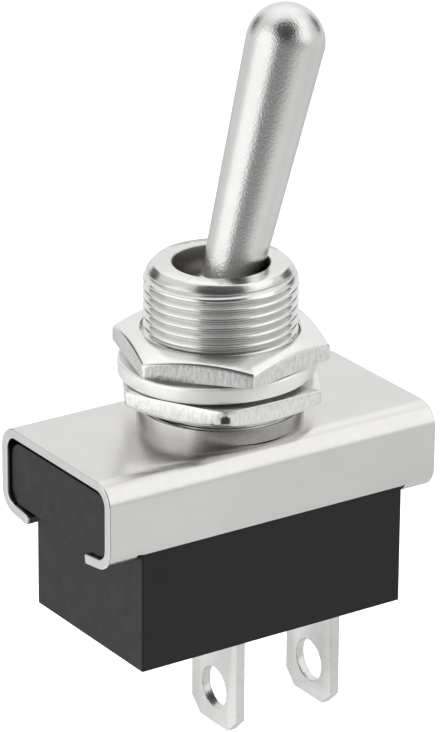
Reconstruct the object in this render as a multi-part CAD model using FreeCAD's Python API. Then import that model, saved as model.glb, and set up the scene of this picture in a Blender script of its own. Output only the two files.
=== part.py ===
import FreeCAD, Part
import math
import os

# Panel toggle switch, on and off, with two blade terminals. Sizes are in millimetres.
# Heights are measured from the top face of the frame's plate, on the bushing's axis.
# X runs along the body, Y across it. The lever swings in the XZ plane and leans towards +X.

Vector = FreeCAD.Vector

# Frame, a channel folded from sheet
sheet = 0.8
channel_length = 30.2
channel_width = 15.6
plate_bend_radius = 1.9
wall_depth = 6.15
tab_length = 2.7
tab_bend_radius = 1.9
tab_bend_angle = 82.5
lip_reach = 3.7

# Clearances between pieces that seat on or slide in each other
seat_gap = 0.02
flange_gap = 0.2
slot_gap = 0.05
ball_gap = 0.08
pin_gap = 0.05
plunger_gap = 0.07
contact_gap = 0.03
rocking_gap = 0.05
thread_gap = 0.05

# Moulded base with its cavity
card_thickness = 0.4
card_end_margin = 0.6
card_hole_gap = 0.05
flange_end_recess = 0.35
flange_drop = 0.18
body_setback = 3.04
body_inset = 0.23
base_depth = 15.95
base_edge_radius = 0.12
cavity_end_gap = 1.06
cavity_width = 9.0
pocket_depth = 12.0
pocket_start = 1.0
rim_recess_gap = 0.3

# Blade terminals
terminal_thickness = 0.8
terminal_width = 6.3
terminal_tip_depth = 26.5
terminal_hole_radius = 1.75
terminal_hole_depth = 23.4
terminal_corner = 1.2
terminal_head_width = 7.6
side_terminal_x = 9.14
shelf_bend_radius = 1.2
shelf_margin = 0.15

# Bushing
bushing_height = 12.63
thread_radius = 6.0
thread_pitch_radius = 5.77
lead_in_radius = 0.83
lead_in_steps = 3
mouth_radius = 3.8
throat_radius = 3.3
seat_angle = 28.0
foot_radius = 6.5
foot_height = 1.2
tenon_wall = 0.45
staked_rim_overhang = 0.3
staked_rim_height = 0.45
staked_rim_taper = 0.2
lower_bore_radius = 4.2
lower_bore_top = 3.6

# Nuts and washer on the thread
nut_across_flats = 15.0
nut_height = 1.9
nut_chamfer_circle = 13.3
nut_chamfer_angle = 21.0
nut_countersink = 0.25
lower_nut_bottom = 1.7
lower_nut_corner_angle = -1.0
washer_space = 1.8
upper_nut_corner_angle = 13.0
washer_overhang = 0.22
washer_play = 0.38
washer_thickness = 1.3
washer_tilt = 1.65
washer_high_side = -34.0
washer_offset = 0.25
washer_split = 0.9
washer_split_slant = 25.0
washer_split_angle = 100.0

# Lever with its ball pivot
pivot_height = 7.77
lever_tilt = 15.0
lever_reach = 22.2
lever_tip_radius = 3.04
lever_taper = 2.29
ball_radius = 4.0
ball_belt_angle = 6.0
stem_radius = 1.6
stem_length = 10.6
plunger_bore_radius = 1.1
plunger_bore_start = 3.4
pin_radius = 0.9
pin_half_length = 4.35
pin_end_gap = 0.05

# Plunger and its spring, inside the lever's stem
plunger_reach = 12.3
plunger_length = 5.2
spring_wire_radius = 0.15
spring_wire_sides = 6
spring_turns = 6
spring_runs_per_turn = 10
spring_end_gap = 0.03

# Rocker and contacts
rocker_tilt = 6.0
rocker_thickness = 1.0
rocker_width = 5.6
rocker_end_margin = 1.5
rocker_bend_margin = 1.2
rocker_trough_angle = 33.0
rocker_groove_depth = 0.3
ear_gap = 0.2
ear_height = 1.6
contact_inset = 2.14
contact_height = 0.5
contact_radius = 1.3
contact_dome_radius = 3.0
contact_shank_radius = 0.7
contact_peened_radius = 0.95
contact_peened_height = 0.3
fixed_contact_radius = 1.5
fixed_contact_height = 0.6

# Places that follow from the sizes above
half_sheet = terminal_thickness / 2
half_length = channel_length / 2
half_width = channel_width / 2
tab_start = half_length - tab_length
flange_half_width = half_width - sheet - flange_gap
flange_half_length = half_length - flange_end_recess
flange_top = -(sheet + card_thickness + 2 * seat_gap)
flange_bottom = -(wall_depth + flange_drop)
body_top = -(wall_depth + seat_gap)
body_half_length = half_length - body_setback
body_half_width = half_width - body_inset
half_cavity = side_terminal_x + half_sheet + cavity_end_gap
bore_radius = ball_radius + ball_gap
lower_nut_top = lower_nut_bottom + nut_height
upper_nut_bottom = lower_nut_top + washer_space
upper_nut_top = upper_nut_bottom + nut_height
washer_outer_radius = nut_across_flats / 2 + washer_overhang
washer_inner_radius = thread_radius + washer_play
tenon_radius = lower_bore_radius + tenon_wall
staked_rim_radius = tenon_radius + staked_rim_overhang
plunger_radius = plunger_bore_radius - plunger_gap
rim_bottom = -(sheet + seat_gap + staked_rim_height)
contact_offset = side_terminal_x - contact_inset
rocker_half_length = contact_offset + rocker_end_margin
rocker_arm_start = contact_offset - rocker_bend_margin

# The fulcrum is the centre of the middle terminal's rounded top edge. The rocker's strip
# lies over it, and the plunger's tip stands on the strip when the lever is upright.
groove_radius = half_sheet + rocking_gap
strip_bottom = groove_radius - rocker_groove_depth
strip_top = strip_bottom + rocker_thickness
tip_above_fulcrum = strip_top + rocking_gap + plunger_radius
fulcrum_height = pivot_height - plunger_reach - tip_above_fulcrum


def turned(x, z, angle):
    """The point (x, z) turned by an angle in degrees about the Y axis."""
    a = math.radians(angle)
    return x * math.cos(a) + z * math.sin(a), z * math.cos(a) - x * math.sin(a)


def box(x0, x1, y0, y1, z0, z1):
    """A block between two corners."""
    return Part.makeBox(x1 - x0, y1 - y0, z1 - z0, Vector(x0, y0, z0))


def rod(radius, start, end):
    """A round bar from one point to another."""
    line = end - start
    return Part.makeCylinder(radius, line.Length, start, line)


def face_of(edges):
    """A flat face inside a closed run of edges."""
    return Part.Face(Part.Wire(Part.__sortEdges__(edges)))


def polygon(points):
    """A flat face with straight sides."""
    return Part.Face(Part.makePolygon(points + [points[0]]))


def arc(start, middle, end):
    """An arc edge through three points."""
    return Part.Arc(start, middle, end).toShape()


def line(start, end):
    """A straight edge."""
    return Part.makeLine(start, end)


def on_bend(centre, across, radius, angle):
    """A point on a bend, at an angle in degrees from one direction towards Z."""
    a = math.radians(angle)
    return centre + across * (radius * math.cos(a)) + Vector(0, 0, radius * math.sin(a))


def strip(path, thickness):
    """A flat face of one thickness along the middle line of a bent strip."""
    upper = path.makeOffset2D(thickness / 2, 0, False, True)
    lower = path.makeOffset2D(-thickness / 2, 0, False, True)
    ends = [line(upper.OrderedVertexes[k].Point, lower.OrderedVertexes[k].Point)
            for k in (0, -1)]
    return face_of(upper.Edges + lower.Edges + ends)


def spun(face):
    """A face in the XZ plane, turned once round the Z axis."""
    return face.revolve(Vector(0, 0, 0), Vector(0, 0, 1), 360)


def rounded_section(half_y, bottom, top, bottom_radius, top_radius):
    """A section across the channel, with rounded corners at its top and bottom."""
    def corner(y, z, dy, dz, r):
        centre = Vector(0, y - dy * r, z - dz * r)
        a = Vector(0, y, z - dz * r)
        b = Vector(0, y - dy * r, z)
        diagonal = Vector(0, dy, dz).normalize() * r
        return a, centre + diagonal, b

    right_top = corner(half_y, top, 1, 1, top_radius)
    left_top = corner(-half_y, top, -1, 1, top_radius)
    left_bottom = corner(-half_y, bottom, -1, -1, bottom_radius)
    right_bottom = corner(half_y, bottom, 1, -1, bottom_radius)
    return face_of([
        arc(*right_top), line(right_top[2], left_top[2]), arc(*left_top),
        line(left_top[0], left_bottom[0]), arc(*left_bottom),
        line(left_bottom[2], right_bottom[2]), arc(*right_bottom),
        line(right_bottom[0], right_top[0])])


def along_x(section, x0, x1):
    """A section in the YZ plane, drawn out between two places along X."""
    solid = section.extrude(Vector(x1 - x0, 0, 0))
    solid.translate(Vector(x0, 0, 0))
    return solid


def channel_section():
    """The section of the folded sheet across its end tabs."""
    half = sheet / 2
    wall_y = half_width - half
    plate_y = half_width - plate_bend_radius
    tab_y = half_width - tab_bend_radius
    lip_y = half_width - lip_reach
    tab_z = tab_bend_height()
    edges = [line(Vector(0, -plate_y, -half), Vector(0, plate_y, -half))]
    for side in (-1, 1):
        across = Vector(0, side, 0)
        plate_centre = across * plate_y - Vector(0, 0, plate_bend_radius)
        tab_centre = across * tab_y + Vector(0, 0, tab_z)
        plate_bend = [on_bend(plate_centre, across, plate_bend_radius - half, angle)
                      for angle in (90, 45, 0)]
        tab_bend = [on_bend(tab_centre, across, tab_bend_radius - half, -angle)
                    for angle in (0, tab_bend_angle / 2, tab_bend_angle)]
        fold = tab_bend[2]
        droop = (side * fold.y - lip_y) / math.tan(math.radians(tab_bend_angle))
        edges += [arc(*plate_bend),
                  line(plate_bend[2], across * wall_y + Vector(0, 0, tab_z)),
                  arc(*tab_bend),
                  line(fold, Vector(0, side * lip_y, fold.z - droop))]
    return strip(Part.Wire(Part.__sortEdges__(edges)), sheet)


def tab_bend_height():
    """Height of the tab bends' centres, at which the tabs just carry the base's flange."""
    inner_radius = tab_bend_radius - sheet
    return flange_bottom - seat_gap + inner_radius * math.sin(math.radians(tab_bend_angle))


def frame():
    """Channel of plated sheet, with four end tabs folded under the base's flange."""
    solid = along_x(channel_section(), -half_length, half_length)
    bend_top = tab_bend_height()
    solid = solid.cut(box(-tab_start, tab_start, -half_width, half_width,
                          -2 * wall_depth, bend_top))
    for side in (-1, 1):
        y0, y1 = sorted((side * half_width, side * (half_width - sheet)))
        solid = solid.fuse(box(-tab_start, tab_start, y0, y1, -wall_depth, bend_top))
    hole = rod(tenon_radius + seat_gap, Vector(0, 0, -2 * sheet), Vector(0, 0, sheet))
    return solid.cut(hole).removeSplitter()


def base():
    """Moulded base: a flange inside the channel and a narrower body below it."""
    top_radius = plate_bend_radius - sheet + flange_gap
    bottom_radius = tab_bend_radius - sheet + flange_gap
    section = rounded_section(flange_half_width, flange_bottom, flange_top,
                              bottom_radius, top_radius)
    flange = along_x(section, -flange_half_length, flange_half_length)
    body = box(-body_half_length, body_half_length, -body_half_width, body_half_width,
               -base_depth, body_top)
    upright = [e for e in body.Edges if e.BoundBox.ZLength > base_depth / 2]
    body = body.makeFillet(base_edge_radius, upright)
    joint = box(-body_half_length, body_half_length, -flange_half_width, flange_half_width,
                flange_bottom, flange_bottom + bottom_radius)
    solid = flange.fuse([body, joint])
    half_cavity_width = cavity_width / 2
    shelf_floor = rocker_end_low() - rocking_gap
    solid = solid.cut(box(-half_cavity, half_cavity, -half_cavity_width, half_cavity_width,
                          shelf_floor, 0))
    solid = solid.cut(box(-pocket_start, half_cavity, -half_cavity_width, half_cavity_width,
                          -pocket_depth, 0))
    recess_bottom = rim_bottom - rim_recess_gap
    solid = solid.cut(rod(staked_rim_radius + rim_recess_gap,
                          Vector(0, 0, recess_bottom), Vector(0, 0, 0)))
    half_slot = terminal_width / 2 + slot_gap
    for x in (0, side_terminal_x):
        solid = solid.cut(box(x - half_sheet - slot_gap, x + half_sheet + slot_gap,
                              -half_slot, half_slot, -base_depth, -pocket_depth))
    return solid.removeSplitter()


def insulator_card():
    """Thin card between the frame's plate and the base, with a hole for the staked rim."""
    half_card_width = half_width - plate_bend_radius
    half_card_length = half_length - card_end_margin
    top = -sheet - seat_gap
    card = box(-half_card_length, half_card_length, -half_card_width, half_card_width,
               top - card_thickness, top)
    return card.cut(rod(staked_rim_radius + card_hole_gap,
                        Vector(0, 0, top - card_thickness), Vector(0, 0, top)))


def bushing():
    """Turned bushing with a conical seat for the ball, staked to the frame below its plate.

    Its thread is a plain cylinder, at the pitch radius under the nuts and at the outer
    radius where it is free.
    """
    free_thread_start = upper_nut_top + seat_gap
    plate_bottom = -sheet - seat_gap
    seat = math.radians(seat_angle)
    seat_start = pivot_height + bore_radius * math.tan(seat / 2)
    throat_rise = (bore_radius - throat_radius * math.cos(seat)) / math.sin(seat)
    lead_in_centre = Vector(thread_radius - lead_in_radius, 0, bushing_height - lead_in_radius)
    lead_in = [on_bend(lead_in_centre, Vector(1, 0, 0), lead_in_radius, 90 * k / lead_in_steps)
               for k in range(lead_in_steps, -1, -1)]
    outline = polygon([
        Vector(throat_radius, 0, pivot_height + throat_rise),
        Vector(mouth_radius, 0, bushing_height)] + lead_in + [
        Vector(thread_radius, 0, free_thread_start),
        Vector(thread_pitch_radius, 0, free_thread_start),
        Vector(thread_pitch_radius, 0, foot_height),
        Vector(foot_radius, 0, foot_height),
        Vector(foot_radius, 0, seat_gap),
        Vector(tenon_radius, 0, seat_gap),
        Vector(tenon_radius, 0, plate_bottom),
        Vector(staked_rim_radius, 0, plate_bottom),
        Vector(staked_rim_radius - staked_rim_taper, 0, rim_bottom),
        Vector(lower_bore_radius, 0, rim_bottom),
        Vector(lower_bore_radius, 0, lower_bore_top),
        Vector(bore_radius, 0, lower_bore_top),
        Vector(bore_radius, 0, seat_start)])
    solid = spun(outline)
    groove_reach = pin_half_length + pin_end_gap
    half_groove = pin_radius + pin_gap
    groove = box(-half_groove, half_groove, -groove_reach, groove_reach,
                 rim_bottom, pivot_height)
    journal = rod(half_groove, Vector(0, -groove_reach, pivot_height),
                  Vector(0, groove_reach, pivot_height))
    return solid.cut(groove.fuse(journal))


def nut(bottom, corner_angle, chamfer_on_top):
    """Thin hexagon nut, chamfered outside and countersunk on one face only."""
    corner = nut_across_flats / 2 / math.cos(math.radians(30))
    points = []
    for k in range(6):
        a = math.radians(corner_angle + 60 * k)
        points.append(Vector(corner * math.cos(a), corner * math.sin(a), 0))
    hexagon = polygon(points).extrude(Vector(0, 0, nut_height))
    face_radius = nut_chamfer_circle / 2
    rise = (corner - face_radius) * math.tan(math.radians(nut_chamfer_angle))
    reach = 2 * corner - face_radius
    blank = spun(polygon([Vector(0, 0, 0), Vector(reach, 0, 0),
                          Vector(reach, 0, nut_height - 2 * rise),
                          Vector(face_radius, 0, nut_height), Vector(0, 0, nut_height)]))
    solid = hexagon.common(blank)
    bore = thread_pitch_radius + thread_gap
    solid = solid.cut(rod(bore, Vector(0, 0, 0), Vector(0, 0, nut_height)))
    solid = solid.cut(Part.makeCone(bore, bore + nut_countersink, nut_countersink,
                                    Vector(0, 0, nut_height - nut_countersink)))
    if not chamfer_on_top:
        solid.rotate(Vector(0, 0, 0), Vector(1, 0, 0), 180)
        solid.rotate(Vector(0, 0, 0), Vector(0, 0, 1), 2 * corner_angle)
        solid.translate(Vector(0, 0, nut_height))
    solid.translate(Vector(0, 0, bottom))
    return solid


def lock_washer():
    """Split spring washer, lying loose and a little askew between the two nuts."""
    half = washer_thickness / 2
    ring = spun(polygon([Vector(washer_inner_radius, 0, -half),
                         Vector(washer_outer_radius, 0, -half),
                         Vector(washer_outer_radius, 0, half),
                         Vector(washer_inner_radius, 0, half)]))
    cutter = box(washer_inner_radius / 2, washer_outer_radius * 2,
                 -washer_split / 2, washer_split / 2, -washer_thickness, washer_thickness)
    cutter.rotate(Vector(0, 0, 0), Vector(1, 0, 0), washer_split_slant)
    cutter.rotate(Vector(0, 0, 0), Vector(0, 0, 1), washer_split_angle)
    solid = ring.cut(cutter)
    a = math.radians(washer_high_side)
    high = Vector(math.cos(a), math.sin(a), 0)
    across = Vector(math.sin(a), -math.cos(a), 0)
    solid.rotate(Vector(0, 0, 0), across, washer_tilt)
    solid.translate(high * -washer_offset)
    solid.translate(Vector(0, 0, lower_nut_top + washer_space / 2))
    return solid


def leaned(solid):
    """Moves a solid drawn about an upright lever, pivot at the origin, to its place."""
    solid.rotate(Vector(0, 0, 0), Vector(0, 1, 0), lever_tilt)
    solid.translate(Vector(0, 0, pivot_height))
    return solid


def lever():
    """Bat lever turned from one bar, with its ball and a bored stem below it."""
    taper = math.radians(lever_taper)
    tip_r = lever_tip_radius * math.cos(taper)
    tip_z = lever_reach - lever_tip_radius * math.sin(taper)
    slope = math.tan(taper)
    pivot_r = tip_r - slope * tip_z
    a = 1 + slope ** 2
    b = 2 * pivot_r * slope
    c = pivot_r ** 2 - ball_radius ** 2
    neck_z = (-b + math.sqrt(b ** 2 - 4 * a * c)) / (2 * a)
    neck_r = pivot_r + slope * neck_z
    belt = math.radians(ball_belt_angle)
    belt_r = ball_radius * math.cos(belt)
    belt_z = ball_radius * math.sin(belt)
    shoulder_z = stem_radius - belt_r - belt_z
    middle = (belt + math.atan2(neck_z, neck_r)) / 2
    tip_a = math.radians(45 - lever_taper / 2)
    outline = face_of([
        line(Vector(0, 0, -stem_length), Vector(stem_radius, 0, -stem_length)),
        line(Vector(stem_radius, 0, -stem_length), Vector(stem_radius, 0, shoulder_z)),
        line(Vector(stem_radius, 0, shoulder_z), Vector(belt_r, 0, -belt_z)),
        line(Vector(belt_r, 0, -belt_z), Vector(belt_r, 0, belt_z)),
        arc(Vector(belt_r, 0, belt_z),
            Vector(ball_radius * math.cos(middle), 0, ball_radius * math.sin(middle)),
            Vector(neck_r, 0, neck_z)),
        line(Vector(neck_r, 0, neck_z), Vector(tip_r, 0, tip_z)),
        arc(Vector(tip_r, 0, tip_z),
            Vector(lever_tip_radius * math.cos(tip_a), 0,
                   lever_reach + lever_tip_radius * math.sin(tip_a)),
            Vector(0, 0, lever_reach + lever_tip_radius)),
        line(Vector(0, 0, lever_reach + lever_tip_radius), Vector(0, 0, -stem_length))])
    solid = spun(outline)
    solid = solid.cut(rod(plunger_bore_radius, Vector(0, 0, -stem_length),
                          Vector(0, 0, -plunger_bore_start)))
    solid = solid.cut(rod(pin_radius + seat_gap, Vector(0, -ball_radius, 0),
                          Vector(0, ball_radius, 0)))
    return leaned(solid)


def pivot_pin():
    """Cross pin through the ball. Its ends lie in grooves inside the bushing's bore."""
    return leaned(rod(pin_radius, Vector(0, -pin_half_length, 0), Vector(0, pin_half_length, 0)))


def plunger():
    """Insulating plunger with a round tip that slides in the stem and along the rocker."""
    shank = rod(plunger_radius, Vector(0, 0, -plunger_reach),
                Vector(0, 0, plunger_length - plunger_reach))
    tip = Part.makeSphere(plunger_radius, Vector(0, 0, -plunger_reach))
    return leaned(shank.fuse(tip).removeSplitter())


def plunger_spring():
    """Compression spring in the stem's bore, its wire drawn in short straight runs."""
    bottom = plunger_length - plunger_reach + spring_end_gap + spring_wire_radius
    top = -plunger_bore_start - spring_end_gap - spring_wire_radius
    coil_radius = plunger_radius - spring_wire_radius
    runs = spring_turns * spring_runs_per_turn
    path = []
    for k in range(runs + 1):
        a = 2 * math.pi * k / spring_runs_per_turn
        path.append(Vector(coil_radius * math.cos(a), coil_radius * math.sin(a),
                           bottom + (top - bottom) * k / runs))
    along = path[1] - path[0]
    spoke = along.cross(Vector(1, 0, 0)).normalize() * spring_wire_radius
    section = []
    for k in range(spring_wire_sides + 1):
        turn = FreeCAD.Rotation(along, 360 * k / spring_wire_sides)
        section.append(path[0] + turn.multVec(spoke))
    sweep = Part.BRepOffsetAPI.MakePipeShell(Part.makePolygon(path))
    sweep.setTransitionMode(1)
    sweep.add(Part.makePolygon(section))
    sweep.build()
    sweep.makeSolid()
    return leaned(sweep.shape())


def rocked(solid):
    """Moves a solid drawn about a level rocker, fulcrum at the origin, to its place."""
    solid.rotate(Vector(0, 0, 0), Vector(0, 1, 0), -rocker_tilt)
    solid.translate(Vector(0, 0, fulcrum_height))
    return solid


def rocker_end_low():
    """The height of the rocker's lower end, where it stands on the base's raised floor."""
    return fulcrum_height + turned(rocker_half_length, strip_bottom, rocker_tilt)[1]


def trough_circle():
    """Radius and centre height of the plunger tip's path over the rocker.

    The lever and the rocker turn together, so in the rocker's own frame the tip runs
    along an arc. The circle goes through its two ends and its middle.
    """
    a = math.radians(lever_tilt)
    x = -plunger_reach * math.sin(a)
    z = pivot_height - plunger_reach * math.cos(a) - fulcrum_height
    end_x, end_z = turned(x, z, rocker_tilt)
    rise = end_z - tip_above_fulcrum
    radius = (end_x ** 2 + rise ** 2) / (2 * rise)
    return radius, tip_above_fulcrum + radius


def rocker():
    """Strip bent to a trough for the plunger, with a flat arm at each end."""
    path_radius, centre = trough_circle()
    radius = path_radius + plunger_radius + rocking_gap + rocker_thickness / 2
    arm_z = strip_bottom + rocker_thickness / 2
    a = math.radians(rocker_trough_angle)
    crest_x = radius * math.sin(a)
    crest_z = centre - radius * math.cos(a)
    path = Part.Wire([
        line(Vector(-rocker_half_length, 0, arm_z), Vector(-rocker_arm_start, 0, arm_z)),
        line(Vector(-rocker_arm_start, 0, arm_z), Vector(-crest_x, 0, crest_z)),
        arc(Vector(-crest_x, 0, crest_z), Vector(0, 0, centre - radius),
            Vector(crest_x, 0, crest_z)),
        line(Vector(crest_x, 0, crest_z), Vector(rocker_arm_start, 0, arm_z)),
        line(Vector(rocker_arm_start, 0, arm_z), Vector(rocker_half_length, 0, arm_z))])
    solid = strip(path, rocker_thickness).extrude(Vector(0, rocker_width, 0))
    solid.translate(Vector(0, -rocker_width / 2, 0))
    solid = solid.cut(rod(groove_radius, Vector(0, -rocker_width, 0),
                          Vector(0, rocker_width, 0)))
    solid = solid.cut(rod(contact_shank_radius + seat_gap, Vector(contact_offset, 0, 0),
                          Vector(contact_offset, 0, strip_top + rocker_thickness)))
    return rocked(solid)


def moving_contact():
    """Silver rivet in the rocker's arm, with a domed head below it."""
    bottom = strip_bottom - seat_gap
    dome_depth = contact_dome_radius - math.sqrt(contact_dome_radius ** 2 - contact_radius ** 2)
    head = rod(contact_radius, Vector(0, 0, bottom - contact_height), Vector(0, 0, bottom))
    dome = Part.makeSphere(contact_dome_radius,
                           Vector(0, 0, bottom - contact_height + contact_dome_radius))
    head = head.common(dome)
    shank = rod(contact_shank_radius, Vector(0, 0, bottom - contact_height + dome_depth),
                Vector(0, 0, strip_top + seat_gap))
    peened = rod(contact_peened_radius, Vector(0, 0, strip_top + seat_gap),
                 Vector(0, 0, strip_top + seat_gap + contact_peened_height))
    solid = head.fuse([shank, peened])
    solid.translate(Vector(contact_offset, 0, 0))
    return rocked(solid.removeSplitter())


def closed_contact():
    """Where the moving contact's dome is lowest once the rocker has tipped over."""
    dome_centre = strip_bottom - seat_gap - contact_height + contact_dome_radius
    x, z = turned(contact_offset, dome_centre, rocker_tilt)
    return x, fulcrum_height + z - contact_dome_radius


def shelf_top():
    """Height of the side terminal's shelf, under the fixed contact's head."""
    return closed_contact()[1] - contact_gap - fixed_contact_height - seat_gap


def fixed_contact():
    """Silver rivet in the side terminal's shelf."""
    x, z = closed_contact()
    top = z - contact_gap
    under_head = top - fixed_contact_height
    under_shelf = shelf_top() - terminal_thickness - seat_gap
    head = rod(fixed_contact_radius, Vector(x, 0, under_head), Vector(x, 0, top))
    shank = rod(contact_shank_radius, Vector(x, 0, under_shelf), Vector(x, 0, under_head))
    peened = rod(contact_peened_radius, Vector(x, 0, under_shelf - contact_peened_height),
                 Vector(x, 0, under_shelf))
    return head.fuse([shank, peened]).removeSplitter()


def blade(x, head_top):
    """Blade from its chamfered tip to a wider head, whose shoulders stand on the floor."""
    half_blade = terminal_width / 2
    half_head = terminal_head_width / 2
    floor = -pocket_depth + seat_gap
    tip = -terminal_tip_depth
    outline = polygon([
        Vector(0, -half_blade, tip + terminal_corner),
        Vector(0, -half_blade + terminal_corner, tip),
        Vector(0, half_blade - terminal_corner, tip),
        Vector(0, half_blade, tip + terminal_corner),
        Vector(0, half_blade, floor),
        Vector(0, half_head, floor),
        Vector(0, half_head, head_top),
        Vector(0, -half_head, head_top),
        Vector(0, -half_head, floor),
        Vector(0, -half_blade, floor)])
    solid = along_x(outline, x - half_sheet, x + half_sheet)
    return solid.cut(rod(terminal_hole_radius,
                         Vector(x - terminal_thickness, 0, -terminal_hole_depth),
                         Vector(x + terminal_thickness, 0, -terminal_hole_depth)))


def centre_terminal():
    """Blade whose rounded top edge is the rocker's fulcrum, with an ear on each side."""
    half_head = terminal_head_width / 2
    ear_inside = rocker_width / 2 + ear_gap
    solid = blade(0, fulcrum_height)
    solid = solid.fuse(rod(half_sheet, Vector(0, -half_head, fulcrum_height),
                           Vector(0, half_head, fulcrum_height)))
    for side in (-1, 1):
        near = side * ear_inside
        far = side * half_head
        solid = solid.fuse(box(-half_sheet, half_sheet, min(near, far), max(near, far),
                               -pocket_depth + seat_gap, fulcrum_height + ear_height))
    return solid.removeSplitter()


def side_terminal():
    """Blade bent to a shelf that holds the fixed contact."""
    top = shelf_top()
    outer_x = side_terminal_x + half_sheet
    inner_x = side_terminal_x - half_sheet
    outer_r = shelf_bend_radius
    inner_r = shelf_bend_radius - terminal_thickness
    bend_x = outer_x - outer_r
    bend_z = top - outer_r
    contact_x = closed_contact()[0]
    end_x = contact_x - fixed_contact_radius - shelf_margin
    low = bend_z - terminal_thickness
    bend = math.sqrt(0.5)
    outline = face_of([
        line(Vector(outer_x, 0, low), Vector(outer_x, 0, bend_z)),
        arc(Vector(outer_x, 0, bend_z),
            Vector(bend_x + bend * outer_r, 0, bend_z + bend * outer_r),
            Vector(bend_x, 0, top)),
        line(Vector(bend_x, 0, top), Vector(end_x, 0, top)),
        line(Vector(end_x, 0, top), Vector(end_x, 0, top - terminal_thickness)),
        line(Vector(end_x, 0, top - terminal_thickness),
             Vector(bend_x, 0, top - terminal_thickness)),
        arc(Vector(bend_x, 0, top - terminal_thickness),
            Vector(bend_x + bend * inner_r, 0, bend_z + bend * inner_r),
            Vector(inner_x, 0, bend_z)),
        line(Vector(inner_x, 0, bend_z), Vector(inner_x, 0, low)),
        line(Vector(inner_x, 0, low), Vector(outer_x, 0, low))])
    shelf = outline.extrude(Vector(0, terminal_head_width, 0))
    shelf.translate(Vector(0, -terminal_head_width / 2, 0))
    solid = blade(side_terminal_x, low).fuse(shelf)
    solid = solid.cut(rod(contact_shank_radius + seat_gap, Vector(contact_x, 0, low),
                          Vector(contact_x, 0, top + terminal_thickness)))
    return solid.removeSplitter()


nodes = {
    "frame": frame(),
    "bushing": bushing(),
    "insulator_card": insulator_card(),
    "base": base(),
    "centre_terminal": centre_terminal(),
    "side_terminal": side_terminal(),
    "fixed_contact": fixed_contact(),
    "rocker": rocker(),
    "moving_contact": moving_contact(),
    "lever": lever(),
    "pivot_pin": pivot_pin(),
    "plunger": plunger(),
    "plunger_spring": plunger_spring(),
    "lower_nut": nut(lower_nut_bottom, lower_nut_corner_angle, False),
    "lock_washer": lock_washer(),
    "upper_nut": nut(upper_nut_bottom, upper_nut_corner_angle, True),
}

# The part's origin lies on the bushing's axis, in the plane of the upper nut's top face.
os.makedirs("parts", exist_ok=True)
for name, shape in nodes.items():
    shape.translate(Vector(0, 0, -upper_nut_top))
    shape.exportStep("parts/" + name + ".step")
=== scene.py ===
import math

import bmesh
import bpy
from mathutils import Matrix, Vector


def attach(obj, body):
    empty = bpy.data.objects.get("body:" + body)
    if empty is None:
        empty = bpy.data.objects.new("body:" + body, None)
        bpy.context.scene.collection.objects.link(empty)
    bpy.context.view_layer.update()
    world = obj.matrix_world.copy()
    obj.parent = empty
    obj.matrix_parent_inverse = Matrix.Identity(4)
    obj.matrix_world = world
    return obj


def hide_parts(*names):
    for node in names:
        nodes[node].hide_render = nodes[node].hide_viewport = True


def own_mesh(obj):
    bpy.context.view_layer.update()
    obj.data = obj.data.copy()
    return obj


# Panel toggle switch. Sizes here are in millimetres, and heights are measured from the top
# face of the upper nut, on the bushing's axis. Meshes are written in metres.

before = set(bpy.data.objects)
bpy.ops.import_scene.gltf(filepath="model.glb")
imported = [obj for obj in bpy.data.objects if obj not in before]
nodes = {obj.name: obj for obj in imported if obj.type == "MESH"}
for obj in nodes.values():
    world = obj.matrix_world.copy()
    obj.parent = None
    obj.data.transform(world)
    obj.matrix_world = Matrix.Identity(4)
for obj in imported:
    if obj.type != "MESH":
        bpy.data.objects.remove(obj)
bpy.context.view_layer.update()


# Frame: a channel folded from 0.8 mm steel sheet and plated with satin nickel. Its plate
# carries the bushing, and four end tabs are folded in under the base's flange.

PLATE_TOP = -7.3
SHEET = 0.8
HALF_LENGTH = 15.1
HALF_WIDTH = 7.8
PLATE_BEND = 1.9
TAB_BEND = 1.9
TAB_ANGLE = 82.5
TAB_BEND_HEIGHT = -12.56
TAB_START = 12.4
TAB_BLEND = 0.45
LIP_EDGE = 4.15
WALL_END = -13.45
LIP_TOP = -13.5
LIP_END_BAND = 0.2
CUT_EDGE_ROUND = 0.17
LIP_END_ROUND = 0.34
CUT_EDGE_ANGLE = 57.0
PLATE_ROWS = (0.0, 2.0, 4.0)
PLATE_BEND_STEPS = 12
WALL_BEND_STEPS = 4
TAB_BEND_STEPS = 7
SMOOTH_ANGLE = 35
EDGE_ANGLE = 40
SAME_POINT = 0.0002
NO_LENGTH = 0.0001


def bend(y, z, radius, start, end, steps):
    """Points on the outside of a fold, between two angles in degrees."""
    points = []
    for k in range(steps + 1):
        a = math.radians(start + (end - start) * k / steps)
        points.append((y + radius * math.cos(a), z + radius * math.sin(a)))
    return points


def feed(tree, socket, value):
    """Gives a socket its value, or links it to the socket that has one."""
    if isinstance(value, bpy.types.NodeSocket):
        tree.links.new(value, socket)
    else:
        socket.default_value = value


def shader_node(tree, kind, settings=None, **inputs):
    """A shader node with its settings and inputs. A _ stands for the space in a name."""
    made = tree.nodes.new("ShaderNode" + kind)
    for name, value in (settings or {}).items():
        setattr(made, name, value)
    for name, value in inputs.items():
        feed(tree, made.inputs[name.replace("_", " ")], value)
    return made


def noise(tree, waves, detail, stretch=(1.0, 1.0, 1.0)):
    """Cloudy noise over the piece, with this many waves to the millimetre."""
    place = shader_node(tree, "TexCoord")
    mapping = shader_node(tree, "Mapping", Vector=place.outputs["Object"],
                          Scale=tuple(1000.0 * s for s in stretch))
    cloud = shader_node(tree, "TexNoise", Vector=mapping.outputs["Vector"], Scale=waves,
                        Detail=detail, Roughness=0.6)
    return cloud.outputs["Fac"]


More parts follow.
